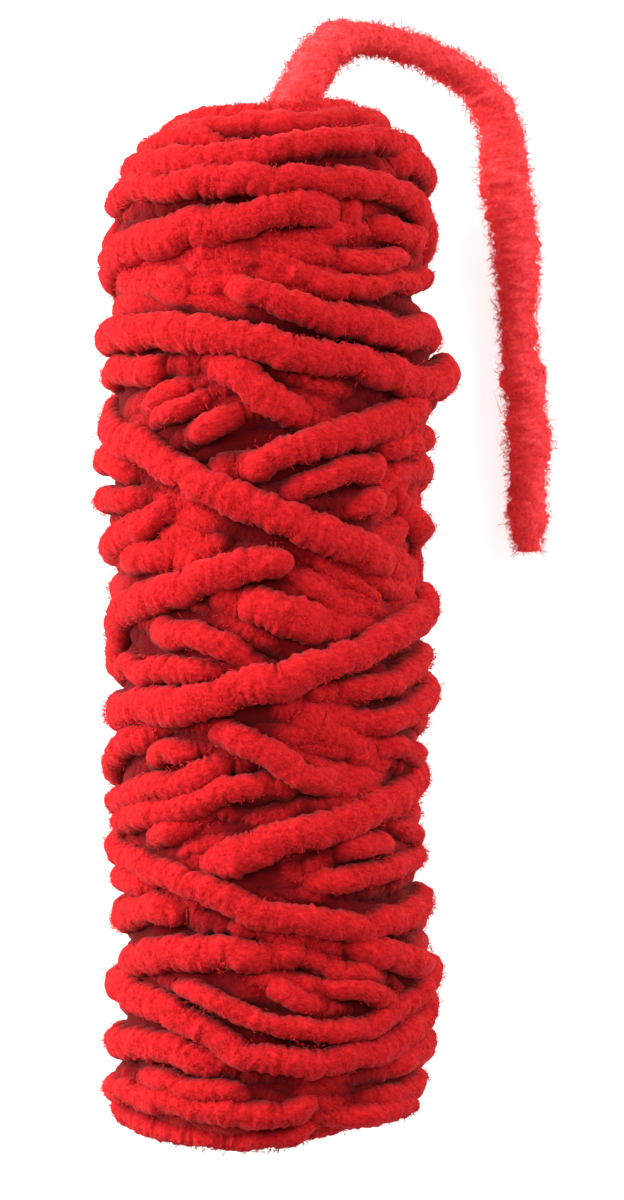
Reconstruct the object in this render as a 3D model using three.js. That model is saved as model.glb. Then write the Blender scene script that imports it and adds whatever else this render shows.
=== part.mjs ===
// A roll of felted fleece cord lying on its side, its loose end drawn out of the top and laid beside it.
// Millimetres, +Z up. The roll's axis runs along Y at a constant height, and its top end faces +Y.
// The origin is on the surface under the middle of the roll.
import * as THREE from 'three';

// Driving dimensions of the cord: across and through where it lies pressed in the roll, and free
const cordWidth = 5.7;
const cordThickness = 6;
const freeDiameter = 6.8;

// Driving dimensions of the roll, to the crests of its turns
const rollRadius = 26.6;
const rollAxis = { x: -1.5, z: 25.9 };
const flatSpot = { width: 11, length: 128 };
const endGap = 0.3;

// Each end of the roll: length of straight side from the middle, rounding, and the hollow in its centre
const topEnd = { side: 67.5, rounding: 13.5, hollowRadius: 5, lip: 3, hollowDepth: 6.5 };
const bottomEnd = { side: 72.5, rounding: 9, hollowRadius: 5, lip: 3, hollowDepth: 4 };

// How the turns press together, as heights above (+) or below (-) the crest surface
const outerTurnHeight = -2.4;
const innerTurnHeight = -3.6;
const bodyHeight = -6;
const pressedOverlap = 0.5;
const pressingShare = 0.3;

// Inner turns: an even winding from one end face to the other that shows only in the gaps
const innerTurns = { count: 31, from: -94, to: 92, sway: 2.2 };

// Turns that lie round the hollow on an end face: their place on the profile and how far off centre they run
const endTurns = [
  { place: 92.5, offCentre: 1 },
  { place: 88.5, offCentre: 2.5 },
  { place: 83.5, offCentre: 2 },
  { place: -94.5, offCentre: 1 },
  { place: -90.5, offCentre: 2 },
  { place: -87, offCentre: 2.5 },
];

// The picture that the turns were read in, 624 by 1200 pixels, taken from straight above: its scale
// on the roll's axis, the pixel row of the roll's middle, and the distance of its viewpoint over the axis
const picture = { mmPerPixel: 0.1592, middleRow: 624.5, distance: 504 };

// The angles round the roll at which each outer turn was read (0 is the front), and the height of its middle
// over the crest surface
const readAngles = { left: -85, leftMid: -45, middle: 0, rightMid: 45, right: 85 };
const readHeight = -1;

// Outer turns in laying order. Each row is one pass across the front: the pixel rows of its middle
// at the left side, the left quarter, the middle, the right quarter and the right side.
const passRows = [
  { left: 1075, leftMid: 1087, middle: 1087, rightMid: 1085, right: 1070 },
  { left: 1035, leftMid: 1050, middle: 1073, rightMid: 1075, right: 1035 },
  { left: 1000, leftMid: 985, middle: 985, rightMid: 990, right: 1000 },
  { left: 960, leftMid: 950, middle: 955, rightMid: 970, right: 985 },
  { left: 925, leftMid: 905, middle: 880, rightMid: 858, right: 835 },
  { left: 885, leftMid: 850, middle: 835, rightMid: 830, right: 820 },
  { left: 860, leftMid: 843, middle: 820, rightMid: 797, right: 790 },
  { left: 840, leftMid: 813, middle: 782, rightMid: 775, right: 760 },
  { left: 805, leftMid: 783, middle: 750, rightMid: 745, right: 770 },
  { left: 785, leftMid: 750, middle: 735, rightMid: 735, right: 740 },
  { left: 705, leftMid: 690, middle: 712, rightMid: 722, right: 690 },
  { left: 655, leftMid: 667, middle: 690, rightMid: 688, right: 640 },
  { left: 620, leftMid: 600, middle: 598, rightMid: 628, right: 650 },
  { left: 535, leftMid: 541, middle: 565, rightMid: 607, right: 640 },
  { left: 465, leftMid: 505, middle: 533, rightMid: 572, right: 610 },
  { left: 470, leftMid: 438, middle: 410, rightMid: 405, right: 430 },
  { left: 450, leftMid: 413, middle: 398, rightMid: 400, right: 420 },
  { left: 425, leftMid: 392, middle: 374, rightMid: 388, right: 410 },
  { left: 282, leftMid: 284, middle: 310, rightMid: 330, right: 350 },
  { left: 195, leftMid: 180, middle: 180, rightMid: 172, right: 178 },
  { left: 165, leftMid: 138, middle: 138, rightMid: 150, right: 165 },
  { left: 250, leftMid: 232, middle: 243, rightMid: 258, right: 275 },
  { left: 262, leftMid: 255, middle: 268, rightMid: 283, right: 318 },
  { left: 235, leftMid: 255, middle: 292, rightMid: 316, right: 345 },
  { left: 385, leftMid: 361, middle: 390, rightMid: 430, right: 470 },
  { left: 560, leftMid: 606, middle: 637, rightMid: 670, right: 720 },
  { left: 690, leftMid: 722, middle: 752, rightMid: 792, right: 830 },
  { left: 850, leftMid: 862, middle: 885, rightMid: 918, right: 950 },
  { left: 840, leftMid: 852, middle: 862, rightMid: 888, right: 905 },
  { left: 905, leftMid: 908, middle: 930, rightMid: 945, right: 985 },
  { left: 975, leftMid: 972, middle: 993, rightMid: 1010, right: 990 },
  { left: 960, leftMid: 980, middle: 1020, rightMid: 1029, right: 985 },
  { left: 900, leftMid: 880, middle: 858, rightMid: 838, right: 815 },
  { left: 890, leftMid: 868, middle: 842, rightMid: 815, right: 765 },
  { left: 600, leftMid: 637, middle: 680, rightMid: 733, right: 790 },
  { left: 615, leftMid: 578, middle: 562, rightMid: 540, right: 500 },
  { left: 580, leftMid: 497, middle: 470, rightMid: 455, right: 440 },
  { left: 640, leftMid: 610, middle: 587, rightMid: 562, right: 480 },
  { left: 590, leftMid: 570, middle: 545, rightMid: 512, right: 450 },
  { left: 520, leftMid: 505, middle: 493, rightMid: 475, right: 470 },
  { left: 520, leftMid: 492, middle: 460, rightMid: 428, right: 398 },
  { left: 290, leftMid: 262, middle: 243, rightMid: 231, right: 245 },
  { left: 268, leftMid: 234, middle: 211, rightMid: 204, right: 210 },
  { left: 178, leftMid: 160, middle: 156, rightMid: 143, right: 180 },
  { left: 240, leftMid: 202, middle: 180, rightMid: 183, right: 232 },
  { left: 335, leftMid: 327, middle: 347, rightMid: 365, right: 385 },
  { left: 405, leftMid: 468, middle: 508, rightMid: 536, right: 590 },
  { left: 755, leftMid: 715, middle: 686, rightMid: 645, right: 560 },
  { left: 795, leftMid: 878, middle: 907, rightMid: 912, right: 920 },
  { left: 985, leftMid: 1015, middle: 1050, rightMid: 1058, right: 1005 },
  { left: 1090, leftMid: 1104, middle: 1112, rightMid: 1103, right: 1085 },
  { left: 1125, leftMid: 1123, middle: 1138, rightMid: 1122, right: 1105 },
];
const backSway = 4.5;

// The folded loop of one pass that stands proud of the roll's right side
const proudLoop = { place: 39, angle: 90, lift: 3.2, spread: 5.5, spreadAngle: 26 };

// The loose end's route from the roll's axis: out of the hollow in the top, over in a short arc,
// down to the surface that the roll lies on, and along it
const restHeight = freeDiameter / 2 - rollAxis.z;
const hollowFloor = topEnd.side + topEnd.rounding - topEnd.lip - topEnd.hollowDepth;
const looseEndRoute = [
  [0, hollowFloor + endGap, 0],
  [0, 75.6, 0],
  [1.6, 79.2, 0.3],
  [4.2, 83.2, 0.5],
  [6.2, 87, 0.1],
  [8, 90.6, -1.8],
  [11, 93.6, -5],
  [15.2, 94.8, -8.8],
  [21.6, 94.5, -14],
  [28.4, 92.6, -18.5],
  [34.2, 89.5, -21.6],
  [37.6, 84.6, restHeight],
  [38.6, 78.9, restHeight],
  [39.3, 72.3, restHeight],
  [40.5, 65.6, restHeight],
  [41.1, 59, restHeight],
  [41.3, 50.7, restHeight],
  [41.7, 44, restHeight],
  [42.5, 37.3, restHeight],
  [43, 30.7, restHeight],
  [42.9, 24, restHeight],
  [42.8, 17.4, restHeight],
  [43.1, 12.1, restHeight],
];
const looseEndSteps = 64;
const looseEndSides = 10;

// Fineness of the winding's height map and of the solid made from it
const mapColumns = 144;
const mapStep = 1;
const mapReach = 110;
const mapRows = (2 * mapReach) / mapStep + 1;
const solidColumns = 48;
const solidRows = 120;

const quarterTurn = Math.PI / 2;

function endOf(place) {
  return place < 0 ? bottomEnd : topEnd;
}

// Stretches of the profile from the middle of the side to the axis:
// side, rounding, face, lip, hollow wall, hollow floor
function stretches(end) {
  const face = rollRadius - end.rounding - end.hollowRadius - end.lip;
  return [
    end.side,
    end.rounding * quarterTurn,
    face,
    end.lip * quarterTurn,
    end.hollowDepth,
    end.hollowRadius,
  ];
}

function profileLength(end) {
  return stretches(end).reduce((sum, length) => sum + length, 0);
}

// The crest surface's profile: distance from the axis, distance along it, and the outward direction,
// for a place measured along the profile from the middle of the roll
function profileAt(place) {
  const end = endOf(place);
  const sign = place < 0 ? -1 : 1;
  const [side, shoulder, face, lipArc, wall] = stretches(end);
  const faceY = end.side + end.rounding;
  let rest = Math.abs(place) - side;
  if (rest <= 0) {
    return { r: rollRadius, y: place, nr: 1, ny: 0 };
  }
  if (rest <= shoulder) {
    const turn = rest / end.rounding;
    const r = rollRadius - end.rounding * (1 - Math.cos(turn));
    const y = sign * (end.side + end.rounding * Math.sin(turn));
    return { r, y, nr: Math.cos(turn), ny: sign * Math.sin(turn) };
  }
  rest -= shoulder;
  if (rest <= face) {
    return { r: rollRadius - end.rounding - rest, y: sign * faceY, nr: 0, ny: sign };
  }
  rest -= face;
  if (rest <= lipArc) {
    const turn = rest / end.lip;
    const r = end.hollowRadius + end.lip * (1 - Math.sin(turn));
    const y = sign * (faceY - end.lip * (1 - Math.cos(turn)));
    return { r, y, nr: -Math.sin(turn), ny: sign * Math.cos(turn) };
  }
  rest -= lipArc;
  if (rest <= wall) {
    return { r: end.hollowRadius, y: sign * (faceY - end.lip - rest), nr: -1, ny: 0 };
  }
  rest -= wall;
  const r = Math.max(end.hollowRadius - rest, 0);
  return { r, y: sign * (faceY - end.lip - end.hollowDepth), nr: 0, ny: sign };
}

// A smooth curve through evenly spaced values, as a cubic between each two
function curveThrough(values, position) {
  const last = values.length - 1;
  const start = Math.min(Math.floor(position), last - 1);
  const t = position - start;
  const before = values[Math.max(start - 1, 0)];
  const a = values[start];
  const b = values[start + 1];
  const after = values[Math.min(start + 2, last)];
  const slopeA = (b - before) / 2;
  const slopeB = (after - a) / 2;
  const bend = 3 * (b - a) - 2 * slopeA - slopeB;
  const twist = slopeA + slopeB - 2 * (b - a);
  return a + t * (slopeA + t * (bend + t * twist));
}

// The pixel row that shows a place along the profile, at an angle round the roll
function pictureRow(place, degrees) {
  const { r, y, nr, ny } = profileAt(place);
  const over = (r + nr * readHeight) * Math.cos(THREE.MathUtils.degToRad(degrees));
  const nearer = picture.distance / (picture.distance - over);
  return picture.middleRow - ((y + ny * readHeight) * nearer) / picture.mmPerPixel;
}

// The place that shows in a pixel row. Rows fall as places grow, so it is found by halving,
// and it is kept to the half millimetre to which a turn's middle can be read.
function placeInPicture(row, degrees) {
  let low = -(bottomEnd.side + bottomEnd.rounding * quarterTurn);
  let high = topEnd.side + topEnd.rounding * quarterTurn;
  for (let step = 0; step < 40; step += 1) {
    const middle = (low + high) / 2;
    if (pictureRow(middle, degrees) > row) {
      low = middle;
    } else {
      high = middle;
    }
  }
  return Math.round(low + high) / 2;
}

// The places of one pass at the angles where it was read
function passPlaces(row) {
  const entries = Object.entries(readAngles);
  return Object.fromEntries(entries.map(([name, degrees]) => [name, placeInPicture(row[name], degrees)]));
}

// Places of the outer turns at every eighth of a turn, from the first pass's start to the last one's end
function outerKnots(passes) {
  const knots = [];
  passes.forEach((row, index) => {
    knots.push(row.left, row.leftMid, row.middle, row.rightMid, row.right);
    const next = passes[index + 1];
    if (!next) {
      return;
    }
    const sway = backSway * Math.sin(2.4 * index);
    const across = (share) => row.right + (next.left - row.right) * share;
    knots.push(across(0.25) + 0.6 * sway, across(0.5) + sway, across(0.75) + 0.3 * sway);
  });
  return knots;
}

// Each turn is a list of places along the roll, one for each column of the height map from the left side on
function outerTurns() {
  const passes = passRows.map(passPlaces);
  const knots = outerKnots(passes);
  const knotsPerColumn = 8 / mapColumns;
  return passes.map((row, index) => {
    const places = [];
    for (let column = 0; column < mapColumns; column += 1) {
      const position = 8 * index + column * knotsPerColumn;
      if (position <= knots.length - 1) {
        places.push(curveThrough(knots, position));
      }
    }
    const share = index / (passes.length - 1);
    return { places, height: innerTurnHeight + (outerTurnHeight - innerTurnHeight) * share };
  });
}

function turnOnEnd({ place, offCentre }, index) {
  const places = [];
  for (let column = 0; column < mapColumns; column += 1) {
    const angle = (2 * Math.PI * column) / mapColumns;
    places.push(place + offCentre * Math.cos(angle - 2.4 * index));
  }
  return { places, height: innerTurnHeight };
}

function innerTurn(index) {
  const { count, from, to, sway } = innerTurns;
  const places = [];
  for (let column = 0; column < mapColumns; column += 1) {
    const share = (index + column / mapColumns) / count;
    const angle = (2 * Math.PI * column) / mapColumns;
    places.push(from + (to - from) * share + sway * Math.sin(angle + 2.4 * index));
  }
  return { places, height: innerTurnHeight };
}

function allTurns() {
  const turns = [];
  for (let index = 0; index < innerTurns.count; index += 1) {
    turns.push(innerTurn(index));
  }
  endTurns.forEach((row, index) => turns.push(turnOnEnd(row, index)));
  return turns.concat(outerTurns());
}

function rowOf(place) {
  return Math.round((place + mapReach) / mapStep);
}

// Calls visit(row, share) for the map rows that the cord covers at a place,
// with share 0 at its middle and 1 at its edge
function acrossCord(place, visit) {
  const half = cordWidth / 2;
  for (let row = rowOf(place - half); row <= rowOf(place + half); row += 1) {
    const share = Math.abs(row * mapStep - mapReach - place) / half;
    if (share < 1) {
      visit(row, share);
    }
  }
}

// The least value and then the mean of the neighbours within reach along a turn,
// which makes the cord dip in a soft bend
function softDip(heights, reach) {
  const at = (list, index) => list[Math.min(Math.max(index, 0), list.length - 1)];
  const around = Array.from({ length: 2 * reach + 1 }, (_, index) => index - reach);
  const lowest = heights.map((_, index) => Math.min(...around.map((step) => at(heights, index + step))));
  return lowest.map((_, index) => {
    const sum = around.reduce((total, step) => total + at(lowest, index + step), 0);
    return sum / around.length;
  });
}

// Lays the turns from the outermost inwards: each lies as far out as the turns over it leave room.
// The height map keeps the highest crest at each place.
function windHeightMap() {
  const crest = new Float64Array(mapColumns * mapRows).fill(bodyHeight);
  const underside = new Float64Array(mapColumns * mapRows).fill(Infinity);
  const halfThickness = cordThickness / 2;
  const dipReach = 2;
  allTurns().reverse().forEach(({ places, height }) => {
    const free = places.map((place, column) => {
      let room = Infinity;
      acrossCord(place, (row, share) => {
        if (share < pressingShare) {
          room = Math.min(room, underside[column * mapRows + row]);
        }
      });
      return Math.min(height, room - halfThickness * (1 - pressedOverlap));
    });
    softDip(free, dipReach).forEach((centre, column) => {
      acrossCord(places[column], (row, share) => {
        const cell = column * mapRows + row;
        const rise = halfThickness * Math.sqrt(1 - share * share);
        crest[cell] = Math.max(crest[cell], centre + rise);
        underside[cell] = Math.min(underside[cell], centre - rise);
      });
    });
  });
  return blurred(crest);
}

// Each height becomes the mean of its neighbours, which rounds the creases to what the faces can follow
function blurred(map) {
  const columnReach = 1;
  const rowReach = 1;
  return map.map((_, cell) => {
    const column = Math.floor(cell / mapRows);
    const row = cell % mapRows;
    let sum = 0;
    let count = 0;
    for (let i = -columnReach; i <= columnReach; i += 1) {
      for (let j = -rowReach; j <= rowReach; j += 1) {
        const nextRow = Math.min(Math.max(row + j, 0), mapRows - 1);
        sum += map[((column + i + mapColumns) % mapColumns) * mapRows + nextRow];
        count += 1;
      }
    }
    return sum / count;
  });
}

// Reads the height map between its points. Column 0 is the left side,
// and columns run over the front to the right.
function heightAt(map, angleShare, place) {
  const x = angleShare * mapColumns;
  const y = (place + mapReach) / mapStep;
  const column = Math.floor(x);
  const row = Math.floor(y);
  const value = (i, j) => map[((column + i) % mapColumns) * mapRows + row + j];
  const low = value(0, 0) * (1 - x + column) + value(1, 0) * (x - column);
  const high = value(0, 1) * (1 - x + column) + value(1, 1) * (x - column);
  return low * (1 - y + row) + high * (y - row);
}

function smoothStep(from, to, value) {
  const t = Math.min(Math.max((value - from) / (to - from), 0), 1);
  return t * t * (3 - 2 * t);
}

// Turns stand out of the surface up to the lip of the hollow, which is plain inside
function reliefShare(place) {
  const end = endOf(place);
  const [side, shoulder, face, lipArc] = stretches(end);
  const lipStart = side + shoulder + face;
  return 1 - smoothStep(lipStart - 1, lipStart + lipArc, Math.abs(place));
}

function proudLift(place, angle) {
  const along = (place - proudLoop.place) / proudLoop.spread;
  const round = (angle - proudLoop.angle) / proudLoop.spreadAngle;
  return proudLoop.lift * Math.exp(-along * along - round * round);
}

// A point of the roll's surface, flattened where the roll lies on the surface
function rollPoint(map, angleShare, place) {
  const profile = profileAt(place);
  const angle = angleShare * 360 - 90;
  const relief = heightAt(map, angleShare % 1, place) * reliefShare(place) + proudLift(place, angle);
  const radius = profile.r + profile.nr * relief;
  const y = profile.y + profile.ny * relief;
  const x = rollAxis.x + radius * Math.sin(THREE.MathUtils.degToRad(angle));
  const z = rollAxis.z + radius * Math.cos(THREE.MathUtils.degToRad(angle));
  const underneath = z < rollAxis.z - rollRadius / 2;
  const onSpot = underneath && Math.abs(x) < flatSpot.width / 2 && Math.abs(y) < flatSpot.length / 2;
  return [x, y, onSpot ? 0 : Math.max(z, 0)];
}

// One closed surface: rings of points from the floor of the lower hollow to that of the upper one
function woundRollGeometry() {
  const map = windHeightMap();
  const from = -profileLength(bottomEnd);
  const to = profileLength(topEnd);
  const positions = [];
  const faces = [];
  const pole = (place) => positions.push(rollAxis.x, profileAt(place).y, rollAxis.z);
  pole(from);
  for (let ring = 1; ring < solidRows; ring += 1) {
    const place = from + ((to - from) * ring) / solidRows;
    for (let column = 0; column < solidColumns; column += 1) {
      positions.push(...rollPoint(map, column / solidColumns, place));
    }
  }
  pole(to);
  const lastPole = positions.length / 3 - 1;
  const point = (ring, column) => 1 + ring * solidColumns + (column % solidColumns);
  for (let column = 0; column < solidColumns; column += 1) {
    faces.push(0, point(0, column + 1), point(0, column));
    for (let ring = 0; ring < solidRows - 2; ring += 1) {
      const corners = [
        point(ring, column),
        point(ring, column + 1),
        point(ring + 1, column + 1),
        point(ring + 1, column),
      ];
      faces.push(corners[0], corners[1], corners[2], corners[0], corners[2], corners[3]);
    }
    faces.push(point(solidRows - 2, column), point(solidRows - 2, column + 1), lastPole);
  }
  const geometry = new THREE.BufferGeometry();
  geometry.setAttribute('position', new THREE.Float32BufferAttribute(positions, 3));
  geometry.setIndex(faces);
  return geometry;
}

function looseEndGeometry() {
  const points = looseEndRoute.map(([x, y, z]) => new THREE.Vector3(rollAxis.x + x, y, rollAxis.z + z));
  const section = new THREE.Shape();
  for (let side = 0; side < looseEndSides; side += 1) {
    const angle = (2 * Math.PI * side) / looseEndSides;
    const x = (freeDiameter / 2) * Math.cos(angle);
    const y = (freeDiameter / 2) * Math.sin(angle);
    if (side === 0) {
      section.moveTo(x, y);
    } else {
      section.lineTo(x, y);
    }
  }
  section.closePath();
  const extrudePath = new THREE.CatmullRomCurve3(points);
  return new THREE.ExtrudeGeometry(section, { steps: looseEndSteps, extrudePath });
}

function cordPiece(name, geometry, colour) {
  const material = new THREE.MeshStandardMaterial({ color: colour, roughness: 0.95, metalness: 0 });
  const mesh = new THREE.Mesh(geometry, material);
  mesh.name = name;
  return mesh;
}

const rollOfCord = new THREE.Group();
rollOfCord.add(cordPiece('wound_roll', woundRollGeometry(), 0xd8222c));
rollOfCord.add(cordPiece('loose_end', looseEndGeometry(), 0xd8222c));

export default rollOfCord;
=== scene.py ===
import bpy
import numpy as np
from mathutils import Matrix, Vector


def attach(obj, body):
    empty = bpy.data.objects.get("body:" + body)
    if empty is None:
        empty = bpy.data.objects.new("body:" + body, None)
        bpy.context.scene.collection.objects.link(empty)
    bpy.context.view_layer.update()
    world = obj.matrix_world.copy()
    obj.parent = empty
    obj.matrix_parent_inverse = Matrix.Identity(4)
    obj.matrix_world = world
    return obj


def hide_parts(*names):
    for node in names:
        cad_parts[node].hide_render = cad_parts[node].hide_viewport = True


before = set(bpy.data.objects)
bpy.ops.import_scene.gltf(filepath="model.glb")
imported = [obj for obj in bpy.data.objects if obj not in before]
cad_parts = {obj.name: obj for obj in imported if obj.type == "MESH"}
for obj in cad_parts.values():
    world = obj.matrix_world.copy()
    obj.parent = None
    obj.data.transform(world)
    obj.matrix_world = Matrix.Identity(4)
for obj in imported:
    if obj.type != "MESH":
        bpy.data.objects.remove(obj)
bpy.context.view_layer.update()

# A roll of felted fleece cord on its side, seen from above. The winding is worked out in millimetres, as
# the cord would be measured, and put into the meshes in metres.
mm = 0.001

# The roll's own sizes: crest radius, the axis over the surface, and the two ends of its profile
roll = dict(
    radius=26.6, axisX=-1.5, axisZ=25.9,
    top=dict(side=67.5, rounding=13.5, hollowRadius=5.0, lip=3.0, hollowDepth=6.5),
    bottom=dict(side=72.5, rounding=9.0, hollowRadius=5.0, lip=3.0, hollowDepth=4.0),
)
mapColumns = 180  # height map: columns round the roll
mapStep = 0.5     # and rows every half millimetre along its profile
mapReach = 112.0


# Camera: straight above, at the distance that gives the turns near the ends their bend in the picture
view = dict(distance=504.0, mmPerPixel=0.1592, width=624, height=1200, axisPixelX=268.0, middlePixelY=624.5)


def addCamera():
    # The lens is the sensor's height times the distance over the height of the picture at the roll's axis
    data = bpy.data.cameras.new("camera")
    data.sensor_fit = "VERTICAL"
    data.sensor_height = 36.0
    data.lens = data.sensor_height * view["distance"] / (view["height"] * view["mmPerPixel"])
    data.clip_start = 0.01
    camera = bpy.data.objects.new("camera", data)
    bpy.context.scene.collection.objects.link(camera)
    x = roll["axisX"] + (view["width"] / 2 - view["axisPixelX"]) * view["mmPerPixel"]
    y = (view["middlePixelY"] - view["height"] / 2) * view["mmPerPixel"]
    camera.location = (x * mm, y * mm, (roll["axisZ"] + view["distance"]) * mm)
    bpy.context.scene.camera = camera


addCamera()
print("camera set")


# Small tools for meshes
def meshPiece(name, points, faces, smooth=True, uv=None, shade=None):
    # A mesh object from points in millimetres and faces of equal size, with an optional UV for each corner
    # and an optional shade for each point
    mesh = bpy.data.meshes.new(name)
    faces = np.asarray(faces, dtype=np.int32)
    corners = faces.shape[1]
    mesh.vertices.add(len(points))
    mesh.vertices.foreach_set("co", (np.asarray(points) * mm).astype(np.float32).ravel())
    mesh.loops.add(faces.size)
    mesh.loops.foreach_set("vertex_index", faces.ravel())
    mesh.polygons.add(len(faces))
    mesh.polygons.foreach_set("loop_start", np.arange(0, faces.size, corners, dtype=np.int32))
    mesh.polygons.foreach_set("use_smooth", np.full(len(faces), smooth))
    if uv is not None:
        layer = mesh.uv_layers.new(name="cordUv")
        layer.data.foreach_set("uv", uv.astype(np.float32).ravel())
    if shade is not None:
        attribute = mesh.attributes.new(name="shade", type="FLOAT", domain="POINT")
        attribute.data.foreach_set("value", shade.astype(np.float32))
    mesh.update(calc_edges=True)
    mesh.validate()
    piece = bpy.data.objects.new(name, mesh)
    bpy.context.scene.collection.objects.link(piece)
    return piece


def unit(vectors):
    # Each vector over its own length
    return vectors / np.maximum(np.linalg.norm(vectors, axis=-1, keepdims=True), 1e-9)


def boxMean(values, reach, axis=0, wrap=False):
    # The mean of the neighbours within reach along one axis
    mode = "wrap" if wrap else "edge"
    pad = [(0, 0)] * values.ndim
    pad[axis] = (reach, reach)
    padded = np.pad(values, pad, mode=mode)
    total = np.zeros_like(values, dtype=float)
    for step in range(2 * reach + 1):
        total += np.take(padded, np.arange(step, step + values.shape[axis]), axis=axis)
    return total / (2 * reach + 1)


def softNoise(rng, rows, columns, rowReach, columnReach):
    # Smooth random waves of about unit height over a grid that closes on itself across its columns
    values = rng.standard_normal((rows, columns))
    for _ in range(2):
        values = boxMean(values, rowReach, 0)
        values = boxMean(values, columnReach, 1, wrap=True)
    return values / max(values.std(), 1e-9)


def tubeFaces(rings, sides):
    # Four-sided faces between neighbouring rings, with their points in an order that faces outwards
    ring = np.arange(rings - 1)[:, None]
    side = np.arange(sides)[None, :]
    after = (side + 1) % sides
    a = ring * sides + side
    b = ring * sides + after
    return np.stack([a, b, b + sides, a + sides], axis=-1).reshape(-1, 4)


def tubeUv(rings, sides, alongStart, alongStep, girth):
    # Real lengths as UV: u runs along the cord and v round it, in centimetres
    u0 = (alongStart + np.arange(rings - 1)[:, None] * alongStep) * np.ones((1, sides)) / 10
    u1 = u0 + alongStep / 10
    v0 = np.arange(sides)[None, :] * np.ones((rings - 1, 1)) * girth / sides / 10
    v1 = v0 + girth / sides / 10
    return np.stack([u0, v0, u0, v1, u1, v1, u1, v0], axis=-1).reshape(-1, 2)


# A tube's end: two rims, each a share of the section at a share of the cap's depth, and the pole's share
caps = dict(rims=((0.80, 0.35), (0.45, 0.62)), pole=0.72)


def tube(centres, across, outward, halfAcross, halfOutward, sides, lumps, alongStart, squareness=2.0,
         capDepth=1.0, unevenness=0.0):
    # A tube along a path. Each ring is an ellipse-like curve round its centre: halfAcross times the cosine
    # and halfOutward times the sine of an angle that runs once round, both to the power 2 / squareness,
    # grown by lumps. Two shrinking rings and a middle point close each end, as deep as a round cap times
    # capDepth. Unevenness draws a ring's points together on its outward side.
    rings = len(centres)
    angle = 2 * np.pi * np.arange(sides) / sides
    angle = angle + unevenness * np.cos(angle)
    power = 2 / squareness
    x = np.sign(np.cos(angle)) * np.abs(np.cos(angle)) ** power
    y = np.sign(np.sin(angle)) * np.abs(np.sin(angle)) ** power
    grow = 1 + lumps
    points = (centres[:, None, :]
              + across[:, None, :] * (halfAcross[:, None] * grow * x[None, :])[..., None]
              + outward[:, None, :] * (halfOutward[:, None] * grow * y[None, :])[..., None])
    forward = unit(np.gradient(centres, axis=0))
    step = np.linalg.norm(np.diff(centres, axis=0), axis=1).mean()
    ends = []
    for end, sign in ((0, -1), (-1, 1)):
        middle = centres[end]
        bulge = forward[end] * sign * halfOutward[end] * capDepth
        rims = [middle + (points[end] - middle) * share + bulge * reach for share, reach in caps["rims"]]
        ends.append((rims, middle + bulge * caps["pole"]))
    (startRims, startPole), (endRims, endPole) = ends
    body = np.stack([startRims[1], startRims[0], *points, endRims[0], endRims[1]])
    total = rings + 4
    faces = tubeFaces(total, sides)
    uv = tubeUv(total, sides, alongStart, step, np.pi * (halfAcross.mean() + halfOutward.mean()))
    poles = np.array([startPole, endPole])
    allPoints = np.concatenate([body.reshape(-1, 3), poles])
    side = np.arange(sides)
    after = (side + 1) % sides
    startIndex = total * sides
    endIndex = startIndex + 1
    lastRing = (total - 1) * sides
    startFan = np.stack([np.full(sides, startIndex), after, side], axis=-1)
    endFan = np.stack([np.full(sides, endIndex), lastRing + side, lastRing + after], axis=-1)
    triangles = np.concatenate([faces[:, [0, 1, 2]], faces[:, [0, 2, 3]], startFan, endFan])
    corner = uv.reshape(-1, 4, 2)
    fanUv = np.zeros((2 * sides, 3, 2))
    fanUv[:sides] = uv[0]
    fanUv[sides:] = uv[-1]
    triangleUv = np.concatenate([corner[:, [0, 1, 2]], corner[:, [0, 2, 3]], fanUv]).reshape(-1, 2)
    return allPoints, triangles, triangleUv


def joined(parts):
    # Several meshes of triangles as one
    starts = np.cumsum([0] + [len(part[0]) for part in parts])
    faces = np.concatenate([part[1] + start for part, start in zip(parts, starts)])
    points, uvs, shades = [np.concatenate([part[i] for part in parts]) for i in (0, 2, 3)]
    return points, faces, uvs, shades


# The loose end: out of the hollow in the top, over in a short arc, down to the surface and along it.
# The route is in millimetres from the roll's axis: read in the picture, with its heights guessed.
looseEnd = dict(diameter=6.8, spacing=0.4, sides=30, tuftDepth=0.07, lumpDepth=0.045, pileDepth=0.05,
                capDepth=0.25)
restHeight = looseEnd["diameter"] / 2 - roll["axisZ"]
looseEndRoute = [
    (0, 70.8, 0), (0, 75.6, 0), (1.6, 79.2, 0.3), (4.2, 83.2, 0.5), (6.2, 87, 0.1), (8, 90.6, -1.8),
    (11, 93.6, -5), (15.2, 94.8, -8.8), (21.6, 94.5, -14), (28.4, 92.6, -18.5), (34.2, 89.5, -21.6),
    (37.6, 84.6, restHeight), (38.6, 78.9, restHeight), (39.3, 72.3, restHeight), (40.5, 65.6, restHeight),
    (41.1, 59, restHeight), (41.3, 50.7, restHeight), (41.7, 44, restHeight), (42.5, 37.3, restHeight),
    (43, 30.7, restHeight), (42.9, 24, restHeight), (42.8, 17.4, restHeight), (43.1, 12.1, restHeight),
]


# Its width, read in the enlarged picture and turned into millimetres: places along the route and the
# width at each
looseWidths = np.array([
    (0, 6.8), (20, 6.8), (28, 6.5), (33, 4.8), (38, 4.6), (44, 5.0), (49, 5.1), (54, 5.5), (62, 6.5),
    (70, 7.3), (78, 7.6), (84, 7.4), (90, 7.0), (94, 6.3), (98, 5.6), (104, 5.4), (107.5, 7.0), (110, 6.0),
    (114, 5.8), (118, 7.0), (121, 6.2), (127, 5.4), (131, 6.4), (134, 4.8), (137, 3.5),
])


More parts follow.
